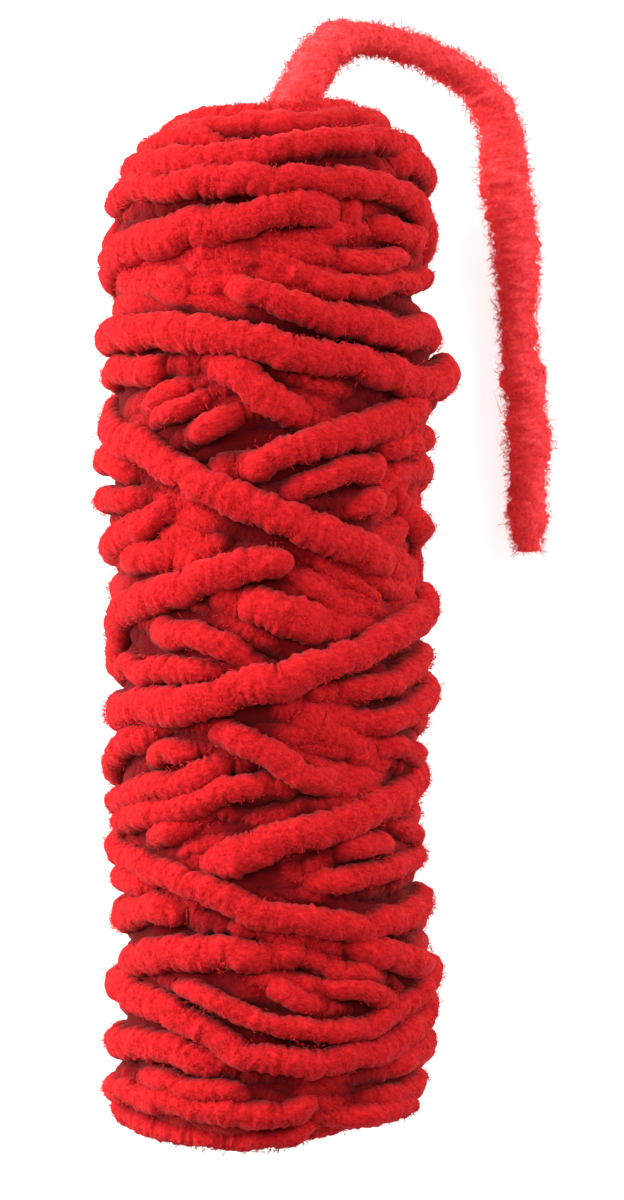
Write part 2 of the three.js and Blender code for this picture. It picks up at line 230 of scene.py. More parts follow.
def smoothRoute(points, spacing):
    # A smooth curve through the points: a cubic between each two, whose slopes are the mean slopes at its
    # ends, resampled at even steps of its length
    points = np.array(points, dtype=float)
    knots = np.concatenate([[0], np.cumsum(np.linalg.norm(np.diff(points, axis=0), axis=1))])
    slopes = np.gradient(points, knots, axis=0)
    fine = np.linspace(0, knots[-1], 4000)
    index = np.clip(np.searchsorted(knots, fine, side="right") - 1, 0, len(points) - 2)
    length = (knots[index + 1] - knots[index])[:, None]
    t = ((fine - knots[index])[:, None]) / length
    curve = ((2 * t**3 - 3 * t**2 + 1) * points[index] + (t**3 - 2 * t**2 + t) * length * slopes[index]
             + (3 * t**2 - 2 * t**3) * points[index + 1] + (t**3 - t**2) * length * slopes[index + 1])
    along = np.concatenate([[0], np.cumsum(np.linalg.norm(np.diff(curve, axis=0), axis=1))])
    even = np.arange(0, along[-1], spacing)
    return np.stack([np.interp(even, along, curve[:, i]) for i in range(3)], axis=-1), along[-1]


def makeLooseEnd():
    # A tube along the route, its radius read from the widths, with tufts and lumps of the felt as shares of
    # it. What would go under the surface is pressed flat on it.
    axis = np.array([roll["axisX"], 0, roll["axisZ"]])
    centres, length = smoothRoute(looseEndRoute, looseEnd["spacing"])
    centres = centres + axis
    forward = unit(np.gradient(centres, axis=0))
    reference = np.array([1.0, 0.0, 1.0])  # never along the route, which runs in the plane across it
    outward = unit(reference - (forward @ reference)[:, None] * forward)
    across = np.cross(forward, outward)
    rng = np.random.default_rng(11)
    rings, sides = len(centres), looseEnd["sides"]
    lumps = looseEnd["tuftDepth"] * softNoise(rng, rings, sides, 1, 1)
    lumps += looseEnd["lumpDepth"] * softNoise(rng, rings, sides, 4, 3)
    lumps = lumps + looseEnd["pileDepth"] * softNoise(rng, rings, sides, 0, 1)
    radius = np.interp(np.arange(rings) * looseEnd["spacing"], looseWidths[:, 0], looseWidths[:, 1] / 2)
    radius = boxMean(radius, 2)
    mesh = tube(centres, across, outward, radius, radius, sides, lumps, 0.0, capDepth=looseEnd["capDepth"])
    points = mesh[0]
    points[:, 2] = np.maximum(points[:, 2], 0)
    return meshPiece("loose_end_cord", *mesh[:2], uv=mesh[2]), centres, across, outward, radius, length


looseEndPiece, looseCentres, looseAcross, looseOutward, looseRadius, looseLength = makeLooseEnd()
print("loose end made, length in mm", round(looseLength, 1))


# The winding
cord = dict(width=5.3, thickness=5.2, girthRadius=26.0, squareness=2.05, unevenness=0.4)
tubeSides = dict(inner=10, outer=12, end=12, front=18)
patternSteps = dict(end=150.0, front=97.0)  # from strand to strand, so that no two show the same stretch
# How far creases are bridged, the depths under the bridged crests over which their painted shade grows from
# none to full, and how deep the matted fill lies under them
creases = dict(reach=3.6, depths=(0.15, 3.0), fillDepth=(3.0, 6.5))
feltWaves = dict(tuft=1.3, lump=4.0, waver=6.0, swell=14.0)  # lengths along the cord in millimetres
# How strong they are: shares of the section, and how far the path goes aside and upward in millimetres
feltDepths = dict(pile=0.055, tuft=0.04, lump=0.03, swell=0.07, aside=0.3, upward=0.12)
# Heights are in millimetres over the crest surface. In front the outer turns drop further, more and more
# between two cosines of the angle round the roll. Overlap is the part of its half thickness that a turn may
# sink into one over it, share the part of its half width that has to fit under, and dipReach the number of map
# columns over which it dips.
pressing = dict(outer=-2.5, inner=-3.8, frontDrop=1.7, dropFrom=(0.0, 0.5), overlap=0.5, share=0.35,
                dipReach=3, bodyHeight=-7.0)
innerTurns = dict(count=33, start=-95.0, end=93.0, sway=3.0, wave=1.09, lower=0.8)
endLay = dict(raised=0.6, phase=2.4)
endTurns = [  # place on the profile and how far off centre each runs
    (92.5, 1.0), (88.5, 2.5), (83.5, 2.0), (-94.5, 1.0), (-90.5, 2.0), (-87.0, 2.5),
]
# The way back behind the roll: its sway, how that changes from turn to turn, and its share at each knot
back = dict(sway=4.5, phase=2.4, places=(0.25, 0.5, 0.75), shares=(0.6, 1.0, 0.3))
# The outer turns in laying order, read in the picture. Each row is one pass across the front: the
# pixel rows of its middle at the left side, left quarter, middle, right quarter and right side.
passAngles = np.radians([-85, -45, 0, 45, 85])
passHeight = -1.0
passRows = np.array([
    (1075, 1087, 1087, 1085, 1070), (1035, 1050, 1073, 1075, 1035), (1000, 985, 985, 990, 1000),
    (960, 950, 955, 970, 985), (925, 905, 880, 858, 835), (885, 850, 835, 830, 820),
    (860, 843, 820, 797, 790), (840, 813, 782, 775, 760), (805, 783, 750, 745, 770),
    (785, 750, 735, 735, 740), (705, 690, 712, 722, 690), (655, 667, 690, 688, 640),
    (620, 600, 598, 628, 650), (535, 541, 565, 607, 640), (465, 505, 533, 572, 610),
    (470, 438, 410, 405, 430), (450, 413, 398, 400, 420), (425, 392, 374, 388, 410),
    (282, 284, 310, 330, 350), (195, 180, 180, 172, 178), (165, 138, 138, 150, 165),
    (250, 232, 243, 258, 275), (262, 255, 268, 283, 318), (235, 255, 292, 316, 345),
    (385, 361, 390, 430, 470), (560, 606, 637, 670, 720), (690, 722, 752, 792, 830),
    (850, 862, 885, 918, 950), (840, 852, 862, 888, 905), (905, 908, 930, 945, 985),
    (975, 972, 993, 1010, 990), (960, 980, 1020, 1029, 985), (900, 880, 858, 838, 815),
    (890, 868, 842, 815, 765), (600, 637, 680, 733, 790), (615, 578, 562, 540, 500),
    (580, 497, 470, 455, 440), (640, 610, 587, 562, 480), (590, 570, 545, 512, 450),
    (520, 505, 493, 475, 470), (520, 492, 460, 428, 398), (290, 262, 243, 231, 245),
    (268, 234, 211, 204, 210), (178, 160, 156, 143, 180), (240, 202, 180, 183, 232),
    (335, 327, 347, 365, 385), (405, 468, 508, 536, 590), (755, 715, 686, 645, 560),
    (795, 878, 907, 912, 920), (985, 1015, 1050, 1058, 1005), (1090, 1104, 1112, 1103, 1085),
    (1125, 1123, 1138, 1122, 1105),
])
# How the strands are drawn: their height over the crest surface, how wide a pixel of their width is, a tenth
# less than in the picture, the narrowest and the widest in millimetres, the angle in degrees past which one
# goes on round the side, how far it goes, at what share of its slope and how steep at most, and how many
# knots its path has
reading = dict(height=-2.6, mmPerPixel=0.1426, narrowest=3.6, widest=5.8, side=66, behind=112,
               sideSlope=0.6, steepest=0.5, knots=7)
# The strands that lie on top in front, in laying order, read in the picture. Each row: the width in
# pixels, how far it is lifted over its fellows in millimetres, 1 or 0 for whether its left and its right
# end dip under their neighbours, and points of its middle line in pixels, from left to right. A few values
# are set instead of read: the width and lift of the rows that start at (110, 921) and (110, 972),
# the lift of the one that starts at (325, 1124), and the points of the two strands along the rounded ends,
# which start at (160, 134) and (131, 1112).
frontStrands = [
    (30, -2.2, 1, 1, (275, 372), (310, 382), (345, 392), (378, 402)),
    (22, -1.5, 1, 1, (185, 850), (215, 840), (248, 834)),
    (24, -1.2, 1, 1, (222, 880), (250, 890), (288, 904)),
    (24, -1, 1, 1, (180, 901), (215, 915), (245, 925), (280, 932), (302, 941)),
    (30, -1.5, 1, 1, (205, 250), (240, 255), (275, 262), (300, 268)),
    (28, -0.3, 1, 1, (288, 272), (330, 283), (380, 286), (430, 275)),
    (26, -0.6, 1, 1, (240, 975), (280, 990), (310, 1003), (350, 1010)),
    (28, -1, 1, 1, (300, 500), (340, 500), (370, 492)),
    (28, 0, 1, 1, (160, 134), (208, 121), (268, 118), (328, 120), (376, 134)),
    (28, 0, 1, 1, (136, 147), (170, 138), (205, 136), (240, 142)),
    (28, -0.3, 1, 1, (270, 238), (300, 246), (340, 258), (380, 262), (430, 255)),
    (32, 0, 1, 1, (100, 385), (120, 372), (150, 367), (180, 362), (216, 361)),
    (26, 0, 1, 1, (134, 409), (165, 394), (190, 386), (218, 378)),
    (26, 0, 1, 1, (140, 428), (170, 415), (200, 401), (236, 388)),
    (30, 0, 1, 1, (170, 445), (210, 423), (240, 409), (268, 402)),
    (30, 0, 1, 1, (322, 520), (355, 511), (380, 496), (402, 470)),
    (30, 0, 1, 1, (345, 448), (380, 445), (410, 447), (434, 449)),
    (28, 0, 1, 1, (320, 556), (350, 578), (380, 596)),
    (26, 0, 1, 1, (195, 604), (230, 618), (260, 634), (294, 651)),
    (30, 0, 1, 1, (104, 664), (150, 668), (190, 666), (230, 669), (258, 676)),
    (32, 0.8, 1, 1, (97, 778), (115, 752), (145, 732), (180, 725), (218, 722)),
    (26, 0, 1, 1, (135, 768), (170, 752), (200, 745), (225, 744)),
    (30, 0, 1, 1, (108, 804), (150, 788), (190, 775), (225, 762), (255, 758)),
    (31, 0, 1, 1, (112, 828), (160, 812), (200, 800), (240, 788), (295, 788)),
    (30, 0, 1, 1, (118, 857), (150, 842), (180, 828), (218, 811)),
    (26, 0, 1, 1, (258, 819), (290, 812), (325, 802)),
    (28, 0, 1, 1, (372, 824), (400, 825), (425, 836)),
    (30, 0, 1, 1, (305, 888), (340, 894), (380, 887), (418, 866)),
    (30, -0.5, 1, 1, (124, 880), (150, 885), (180, 895), (212, 908)),
    (24, -0.4, 1, 1, (298, 955), (335, 967), (370, 972), (396, 985)),
    (28, 0, 1, 1, (118, 1076), (160, 1079), (200, 1088), (240, 1093), (285, 1090)),
    (33, 0, 1, 1, (113, 1040), (160, 1045), (200, 1055), (250, 1070), (300, 1078), (350, 1074), (390, 1064),
     (438, 1038)),
    (28, 0, 1, 1, (131, 1112), (157, 1124), (205, 1133), (274, 1136), (339, 1123), (392, 1108)),
    (28, -0.3, 1, 1, (318, 696), (350, 690), (380, 685), (405, 672), (434, 655)),
    (30, 1, 1, 1, (91, 457), (120, 463), (150, 481), (184, 502)),
    (30, 1.2, 1, 1, (90, 502), (115, 499), (140, 495), (160, 492)),
    (30, 0, 1, 1, (162, 535), (190, 538), (222, 548)),
    (30, 0.2, 1, 1, (385, 400), (410, 412), (428, 440)),
    (34, 1, 1, 1, (94, 238), (110, 216), (140, 205), (180, 196), (225, 190)),
    (32, 0, 1, 1, (305, 242), (350, 230), (380, 231), (415, 245)),
    (37, 0, 1, 1, (196, 256), (225, 272), (250, 288), (280, 300), (310, 310), (350, 318), (390, 330),
     (437, 338)),
    (37, 0, 1, 1, (185, 346), (215, 363), (240, 378), (270, 396), (300, 412), (330, 424)),
    (30, 0.2, 1, 0, (255, 500), (290, 490), (320, 480), (350, 470), (377, 468)),
    (31, 0, 1, 1, (280, 568), (310, 580), (340, 600), (366, 614)),
    (41, 0, 1, 1, (220, 597), (255, 602), (285, 612), (315, 620), (350, 628)),
    (34, 0, 1, 1, (140, 622), (175, 630), (210, 640), (240, 655), (272, 673)),
    (44, 0, 1, 1, (278, 698), (310, 715), (345, 738), (380, 757), (427, 766)),
    (30, 0.8, 1, 1, (350, 727), (380, 720), (405, 712), (441, 690)),
    (30, 0, 1, 1, (365, 752), (395, 745), (427, 760)),
    (34, 0, 1, 1, (196, 720), (240, 737), (280, 757), (320, 778), (362, 789)),
    (34, 0, 1, 1, (226, 812), (243, 818), (262, 828)),
    (28, 0, 1, 1, (310, 866), (345, 852), (380, 845), (412, 852)),
    (30, 0, 1, 1, (285, 872), (330, 880), (370, 871), (427, 853)),
    (35, -0.3, 1, 1, (110, 921), (145, 908), (175, 911), (212, 925)),
    (37, -0.3, 1, 1, (110, 972), (140, 956), (180, 951), (220, 955), (260, 955), (300, 948)),
    (36, 1.2, 1, 1, (280, 922), (320, 938), (360, 945), (395, 955), (425, 965), (447, 980)),
    (27, 0.3, 1, 0, (305, 982), (335, 987), (362, 992), (388, 996)),
    (28, 0, 1, 1, (160, 977), (200, 991), (230, 1005), (260, 1018), (300, 1030), (340, 1030), (375, 1020),
     (405, 1001), (430, 968)),
    (30, 0, 1, 1, (120, 1089), (150, 1093), (190, 1105), (240, 1112), (290, 1112), (340, 1106), (390, 1095),
     (417, 1084)),
    (24, 1.5, 1, 0, (325, 1124), (360, 1117), (390, 1113), (418, 1108)),
    (34, 0, 1, 1, (103, 562), (130, 556), (160, 554), (196, 566)),
    (36, 0.4, 1, 1, (103, 550), (130, 533), (155, 515), (186, 497)),
    (33, 0, 1, 1, (122, 168), (160, 161), (200, 160), (240, 157), (280, 149), (330, 142), (380, 144),
     (412, 158)),
    (36, 0.5, 1, 1, (385, 170), (410, 165), (436, 182)),
    (39, 0.2, 1, 1, (99, 295), (108, 270), (130, 249), (160, 238), (200, 229), (240, 219), (280, 210),
     (320, 206), (362, 210)),
    (42, -0.2, 1, 1, (146, 282), (180, 283), (214, 287)),
    (39, 0.2, 1, 1, (217, 472), (250, 460), (280, 452), (310, 443), (350, 432), (390, 418), (425, 398)),
    (41, 0.3, 1, 0, (102, 655), (110, 625), (140, 604), (170, 591), (200, 580), (230, 568), (260, 560),
     (284, 556)),
    (39, 0.2, 1, 1, (185, 869), (220, 860), (250, 852), (290, 842), (330, 826), (370, 812), (405, 798),
     (428, 775)),
    (35, 0.2, 1, 1, (116, 982), (150, 1000), (180, 1015), (220, 1035), (260, 1055), (300, 1063),
     (340, 1060), (380, 1045), (415, 1022), (440, 995)),
    (34, 0.2, 1, 1, (106, 205), (130, 190), (160, 185), (200, 184), (240, 181), (280, 175), (320, 176),
     (360, 183), (395, 200), (420, 222), (437, 245)),
    (40, 0.5, 1, 0, (101, 338), (150, 329), (200, 329), (250, 340), (300, 350), (350, 361), (400, 376),
     (440, 382), (459, 381)),
    (40, 0.3, 1, 1, (98, 415), (112, 428), (150, 448), (200, 482), (240, 506), (280, 517), (320, 533),
     (360, 547), (406, 570)),
    (34, 0.4, 1, 1, (398, 478), (410, 510), (422, 545), (435, 590)),
    (34, 0.3, 1, 1, (112, 843), (145, 860), (180, 877), (220, 895), (260, 908), (300, 921), (340, 927),
     (380, 924), (415, 908)),
    (41, 0.6, 1, 1, (107, 714), (150, 706), (200, 702), (240, 694), (270, 684), (300, 671), (340, 658),
     (380, 643), (410, 625), (433, 600)),
]
# How deep the middle of each kind of turn may be pressed under the crests: soft cord
# flattens before it goes deeper. In front, where the turns lie looser, it may go further by
# sink, from one cosine to the other.
deepest = dict(inner=-6.2, end=-5.0, outer=-5.0, front=-4.5)
loosest = dict(sink=0.5, cosines=(0.2, 0.8))
endDip = dict(depth=3.6, angle=11.0)
# Where the roll stands out or is pressed in. Each row: its place along the roll, its angle in degrees, how
# far the turns are moved out there in millimetres, and how far that reaches along the roll and round it.
bulges = np.array([
    (39, 90, 3.0, 5.5, 26), (78, -80, -2.8, 13, 55), (-8, -90, -1.3, 18, 50), (-48, -90, -1.5, 22, 50),
    (-31, 90, -1.7, 12, 45), (-54, 90, 1.3, 5, 40), (-76, 90, -2.4, 5, 50), (-89, 75, -2.8, 9, 60),
    (-89, -75, -1.2, 9, 60), (84, 52, 1.6, 8, 28), (84, -50, 1.0, 8, 28),
])


def profile(place):
    # The crest surface's profile for places measured along it from the middle: distance from the axis,
    # distance along it, and the outward direction's two parts. It is a straight side, a quarter circle, a
    # flat face, a small quarter circle down into the hollow, the hollow's wall and its floor.
    place = np.asarray(place, dtype=float)
    sign = np.where(place < 0, -1.0, 1.0)
    r = np.empty_like(place)
    y = np.empty_like(place)
    nr = np.empty_like(place)
    ny = np.empty_like(place)
    for end, mask in ((roll["top"], place >= 0), (roll["bottom"], place < 0)):
        away = np.abs(place[mask])
        faceY = end["side"] + end["rounding"]
        faceLength = roll["radius"] - end["rounding"] - end["hollowRadius"] - end["lip"]
        lengths = [end["side"], end["rounding"] * np.pi / 2, faceLength, end["lip"] * np.pi / 2,
                   end["hollowDepth"]]
        starts = np.concatenate([[0], np.cumsum(lengths)])
        part = np.clip(np.searchsorted(starts, away, side="right") - 1, 0, 5)
        rest = away - starts[part]
        turn = rest / end["rounding"]
        lipTurn = rest / end["lip"]
        zero = np.zeros_like(rest)
        one = np.ones_like(rest)
        wallY = faceY - end["lip"]
        hollow = end["hollowRadius"]
        r[mask] = np.choose(part, [
            roll["radius"] * one, roll["radius"] - end["rounding"] * (1 - np.cos(turn)),
            roll["radius"] - end["rounding"] - rest, hollow + end["lip"] * (1 - np.sin(lipTurn)),
            hollow * one, np.maximum(hollow - rest, 0)])
        y[mask] = np.choose(part, [
            away, end["side"] + end["rounding"] * np.sin(turn), faceY * one,
            faceY - end["lip"] * (1 - np.cos(lipTurn)), wallY - rest, (wallY - end["hollowDepth"]) * one])
        nr[mask] = np.choose(part, [one, np.cos(turn), zero, -np.sin(lipTurn), -one, zero])
        ny[mask] = np.choose(part, [zero, np.sin(turn), one, np.cos(lipTurn), zero, one])
    return r, sign * y, nr, sign * ny


def onRoll(angle, place, height):
    # Points at an angle round the roll (0 at the front, 90 degrees at the right), a place along its profile
    # and a height over its crest surface, with the outward direction there
    r, y, nr, ny = profile(place)
    radius = r + nr * height
    points = np.stack([roll["axisX"] + radius * np.sin(angle), y + ny * height,
                       roll["axisZ"] + radius * np.cos(angle)], axis=-1)
    outward = np.stack([nr * np.sin(angle), ny, nr * np.cos(angle)], axis=-1)
    return points, outward


def placeInPicture(row, height, cosineAt):
    # The place along the profile that shows in a pixel row, at a height over the crest surface. cosineAt
    # gives the cosine of the angle round the roll for a radius. Rows fall as places grow, so the place is
    # found by halving.
    low = np.full(row.shape, -(roll["bottom"]["side"] + roll["bottom"]["rounding"] * np.pi / 2))
    high = np.full(row.shape, roll["top"]["side"] + roll["top"]["rounding"] * np.pi / 2)
    for _ in range(40):
        place = (low + high) / 2
        r, y, nr, ny = profile(place)
        radius = r + nr * height
        nearer = view["distance"] / (view["distance"] - radius * cosineAt(radius))
        under = view["middlePixelY"] - (y + ny * height) * nearer / view["mmPerPixel"] > row
        low = np.where(under, place, low)
        high = np.where(under, high, place)
    return place


def sineInPicture(column, radius):
    # The sine of the angle round the roll that shows in a pixel column, at a radius: the pixel's distance
    # from the axis over the radius, less what the camera's nearness adds to it
    aside = (column - view["axisPixelX"]) * view["mmPerPixel"] / radius
    sine = np.clip(aside, -1, 1)
    for _ in range(4):
        sine = np.clip(aside * (1 - radius * np.sqrt(1 - sine**2) / view["distance"]), -1, 1)
    return sine


def roundTheSide(angle, place):
    # The line goes on from its first point round the side, at a share of the slope it came with
    slope = (place[1] - place[0]) / (angle[1] - angle[0])
    slope = reading["sideSlope"] * np.clip(slope, -reading["steepest"], reading["steepest"])
    behind = np.sign(angle[0]) * reading["behind"]
    return np.append(behind, angle), np.append(place[0] + slope * (behind - angle[0]), place)


def strandPath(points, height, dipStart, dipEnd):
    # A strand's first and last angle in degrees, and its places at even angles between them
    column, row = np.array(points, dtype=float).T
    place = placeInPicture(row, height, lambda radius: np.sqrt(1 - sineInPicture(column, radius) ** 2))
    r, _, nr, _ = profile(place)
    least = 2.0 * np.arange(len(place))  # angles grow by two degrees or more from point to point
    angle = np.degrees(np.arcsin(sineInPicture(column, r + nr * height)))
    angle = np.maximum.accumulate(angle - least) + least
    if dipStart and angle[0] < -reading["side"]:
        angle, place = roundTheSide(angle, place)
    if dipEnd and angle[-1] > reading["side"]:
        angle, place = [values[::-1] for values in roundTheSide(angle[::-1], place[::-1])]
    even = np.linspace(angle[0], angle[-1], reading["knots"])
    return angle[0], angle[-1], np.interp(even, angle, place)


def throughKnots(knots, positions):
    # A smooth curve through evenly spaced values, as a cubic between each two
    slopes = np.gradient(knots)
    index = np.clip(positions.astype(int), 0, len(knots) - 2)
    t = positions - index
    a, b = knots[index], knots[index + 1]
    slopeA, slopeB = slopes[index], slopes[index + 1]
    bend = 3 * (b - a) - 2 * slopeA - slopeB
    twist = slopeA + slopeB - 2 * (b - a)
    return a + t * (slopeA + t * (bend + t * twist))


def outerPlaces():
    # Places along the roll for the whole outer winding, one value for each map column of each turn
    passes = placeInPicture(passRows, passHeight, lambda radius: np.cos(passAngles))
    count = len(passes)
    following = np.vstack([passes[1:], passes[-1:]])
    sway = back["sway"] * np.sin(back["phase"] * np.arange(count))
    right, left = passes[:, 4], following[:, 0]
    behind = right[:, None] + (left - right)[:, None] * np.array(back["places"])
    behind = behind + sway[:, None] * np.array(back["shares"])
    knots = np.hstack([passes, behind]).ravel()[:-3]
    positions = np.arange(0, len(knots) - 1, 8 / mapColumns)
    return throughKnots(knots, positions)


def smoothStep(start, end, value):
    # From 0 to 1 between start and end: three times the square of the share less twice its cube
    t = np.clip((value - start) / (end - start), 0, 1)
    return t * t * (3 - 2 * t)


def columnAngles(column, count):
    # The angles of map columns that follow one another, from the roll's left side on
    return -np.pi / 2 + 2 * np.pi * (column + np.arange(count)) / mapColumns


def turn(kind, column, places, height, width=cord["width"]):
    # One turn: its kind, the map column where it starts, its places along the roll from that column on, one
    # for each column, the height that it would lie at and its width
    heights = np.broadcast_to(height, places.shape)
    return dict(kind=kind, column=column, places=places, height=heights, width=width)


def baseTurns():
    # The inner winding, an even helix with a sine for its sway, the turns on the end faces, each a circle
    # off centre, and the outer turns, which lie low where the front strands are
    turns = []
    total = 2 * np.pi * np.arange(innerTurns["count"] * mapColumns) / mapColumns
    share = total / total[-1]
    inner = innerTurns["start"] + (innerTurns["end"] - innerTurns["start"]) * share
    inner += innerTurns["sway"] * np.sin(total * innerTurns["wave"]) * np.sin(np.pi * share)
    for index in range(innerTurns["count"]):
        places = inner[index * mapColumns:(index + 1) * mapColumns]
        turns.append(turn("inner", 0, places, pressing["inner"] - innerTurns["lower"]))
    angle = 2 * np.pi * np.arange(mapColumns) / mapColumns
    for index, (place, offCentre) in enumerate(endTurns):
        places = place + offCentre * np.cos(angle - endLay["phase"] * index)
        turns.append(turn("end", 0, places, pressing["inner"] + endLay["raised"]))
    outer = outerPlaces()
    for index in range(len(passRows)):
        places = outer[index * mapColumns:(index + 1) * mapColumns]
        height = pressing["inner"] + (pressing["outer"] - pressing["inner"]) * index / (len(passRows) - 1)
        inFront = smoothStep(*pressing["dropFrom"], np.cos(columnAngles(0, len(places))))
        turns.append(turn("outer", 0, places, height - pressing["frontDrop"] * inFront))
    return turns


def frontTurns():
    # The strands of the table, each at its own height and dipping at the ends that go under neighbours
    turns = []
    for pixels, lift, dipStart, dipEnd, *points in frontStrands:
        width = np.clip(pixels * reading["mmPerPixel"], reading["narrowest"], reading["widest"])
        height = reading["height"] + lift
        first, last, places = strandPath(points, height, dipStart, dipEnd)
        column = int(round((first + 90) / 360 * mapColumns))
        count = int(round((last - first) / 360 * mapColumns)) + 1
        path = throughKnots(places, np.linspace(0, len(places) - 1, count))
        fromStart = np.arange(count) * 360 / mapColumns
        dip = dipStart * (1 - smoothStep(0, endDip["angle"], fromStart))
        dip = dip + dipEnd * (1 - smoothStep(0, endDip["angle"], fromStart[::-1]))
        turns.append(turn("front", column, path, height - endDip["depth"] * dip, width))
    return turns


def layTurns(turns):
    # Lays the turns from the outermost inwards. Each lies as far out as its own height allows and as the
    # turns over it leave room, then its heights are lowered and averaged along it so that it dips softly.
    # Its crest stands over its middle by half its thickness times the root of one less the square of the
    # share of its half width. Adds to each turn the heights it gets, and gives a map of the highest crest.
    rows = int(2 * mapReach / mapStep) + 1
    crest = np.full((mapColumns, rows), pressing["bodyHeight"])
    underside = np.full((mapColumns, rows), 1e3)
    halfThick = cord["thickness"] / 2
    reach = pressing["dipReach"]
    for one in reversed(turns):
        places, half = one["places"], one["width"] / 2
        offsets = np.arange(-int(half / mapStep) - 1, int(half / mapStep) + 2)
        columns = (one["column"] + np.arange(len(places)))[:, None] % mapColumns
        middle = np.rint((places + mapReach) / mapStep).astype(int)
        cells = np.clip(middle[:, None] + offsets[None, :], 0, rows - 1)
        columns = np.broadcast_to(columns, cells.shape)
        share = np.abs(cells * mapStep - mapReach - places[:, None]) / half
        room = np.where(share < pressing["share"], underside[columns, cells], 1e3).min(axis=1)
        free = np.minimum(one["height"], room - halfThick * (1 - pressing["overlap"]))
        lowest = np.stack([boxShift(free, step) for step in range(-reach, reach + 1)]).min(axis=0)
        inFront = smoothStep(*loosest["cosines"], np.cos(columnAngles(one["column"], len(places))))
        centre = np.maximum(boxMean(lowest, reach), deepest[one["kind"]] - loosest["sink"] * inFront)
        rise = halfThick * np.sqrt(np.clip(1 - share**2, 0, 1))
        np.maximum.at(crest, (columns, cells), np.where(share < 1, centre[:, None] + rise, -1e3))
        np.minimum.at(underside, (columns, cells), np.where(share < 1, centre[:, None] - rise, 1e3))
        one["laid"] = centre
    return crest


def spread(values, reach, axis, pick):
    # The largest or smallest of the neighbours within reach along one axis. Axis 0 closes on itself.
    pad = [(0, 0), (0, 0)]
    pad[axis] = (reach, reach)
    padded = np.pad(values, pad, mode="edge" if axis else "wrap")
    along = np.arange(values.shape[axis])
    return pick.reduce([np.take(padded, along + step, axis=axis) for step in range(2 * reach + 1)])


def bridged(crest):
    # The crest surface with its creases bridged: the largest height within reach, then the smallest of
    # those, then softened. Creases are as deep as they lie under this.
    rowReach = int(creases["reach"] / mapStep)
    columnReach = int(creases["reach"] / (2 * np.pi * cord["girthRadius"] / mapColumns))
    for pick in (np.maximum, np.minimum):
        crest = spread(spread(crest, columnReach, 0, pick), rowReach, 1, pick)
    return boxMean(boxMean(crest, 1, 0, wrap=True), 2, 1)


def boxShift(values, step):
    # The values moved along by a step, with the end value repeated
    return values[np.clip(np.arange(len(values)) + step, 0, len(values) - 1)]


def lifted(angle, place):
    # How far the turns are moved out at angles and places, as the sum of the soft bulges
    total = np.zeros(np.broadcast(angle, place).shape)
    for middle, degrees, lift, reach, reachRound in bulges:
        around = (np.degrees(angle) - degrees + 180) % 360 - 180
        total = total + lift * np.exp(-((place - middle) / reach) ** 2 - (around / reachRound) ** 2)
    return total


def refined(values, factor):
    # The values with factor - 1 more between each two
    return np.interp(np.arange(0, len(values) - 1 + 1e-9, 1 / factor), np.arange(len(values)), values)


def strand(angle, place, height, width, sides, rng, alongStart, crest):
    # One stretch of the winding as a tube on the roll. Its path wavers by a few tenths of a millimetre and
    # its section swells and shrinks along it and round it, as loosely felted wool does.
    rings = len(place)
    step = cord["girthRadius"] * abs(angle[1] - angle[0])
    reach = {name: max(int(round(length / step / 3)), 1) for name, length in feltWaves.items()}
    waver = softNoise(rng, rings, 2, reach["waver"], 0)
    place = place + feltDepths["aside"] * waver[:, 0]
    height = height + feltDepths["upward"] * waver[:, 1]
    centres, outward = onRoll(angle, place, height + lifted(angle, place))
    forward = unit(np.gradient(centres, axis=0))
    outward = unit(outward - (forward * outward).sum(-1, keepdims=True) * forward)
    across = np.cross(forward, outward)
    lumps = feltDepths["pile"] * softNoise(rng, rings, sides, 0, 1)
    lumps += feltDepths["tuft"] * softNoise(rng, rings, sides, reach["tuft"], 1)
    lumps += feltDepths["lump"] * softNoise(rng, rings, sides, reach["lump"], 2)
    swell = 1 + feltDepths["swell"] * softNoise(rng, rings, 1, reach["swell"], 0)[:, 0]
    halfAcross = swell * width / 2
    halfOutward = np.full(rings, cord["thickness"] / 2)
    points, faces, uv = tube(centres, across, outward, halfAcross, halfOutward, sides, lumps, alongStart,
                             cord["squareness"], unevenness=cord["unevenness"])
    ring = np.concatenate([[0, 0], np.arange(rings), [rings - 1] * 2]).repeat(sides)
    ring = np.concatenate([ring, [0, rings - 1]])
    # Painted shade: each point's depth in a crease, which the felt turns into a darker colour
    shade = creaseShade(points, angle[ring], place[ring], height[ring], centres[ring], crest)
    points[:, 2] = np.maximum(points[:, 2], 0)
    return points, faces, uv, shade


def creaseShade(points, angle, place, height, centres, crest):
    # Painted shade for creases: how deep each point lies under the bridged crest surface, from 0 on a
    # crest to 1 in a deep crease, which the felt turns into a darker colour. A point's own place, height and
    # angle are those of its ring's middle moved by its offset from it.
    _, _, nr, ny = profile(place)
    sine, cosine, zero = np.sin(angle), np.cos(angle), np.zeros_like(angle)
    offset = points - centres
    upward = np.stack([nr * sine, ny, nr * cosine], axis=-1)
    alongProfile = np.stack([-ny * sine, nr, -ny * cosine], axis=-1)
    around = np.stack([cosine, zero, -sine], axis=-1)
    ownHeight = height + (offset * upward).sum(-1)
    ownPlace = place + (offset * alongProfile).sum(-1)
    ownAngle = angle + (offset * around).sum(-1) / cord["girthRadius"]
    return smoothStep(*creases["depths"], readMap(crest, ownAngle, ownPlace) - ownHeight)


def readMap(values, angle, place):
    # The map's value between its points, for angles and places
    column = (angle + np.pi / 2) / (2 * np.pi) * mapColumns
    row = np.clip((place + mapReach) / mapStep, 0, values.shape[1] - 2)
    i, j = np.floor(column).astype(int), np.floor(row).astype(int)
    fc, fr = column - i, row - j
    near, far = i % mapColumns, (i + 1) % mapColumns
    low = values[near, j] * (1 - fc) + values[far, j] * fc
    high = values[near, j + 1] * (1 - fc) + values[far, j + 1] * fc
    return low * (1 - fr) + high * fr


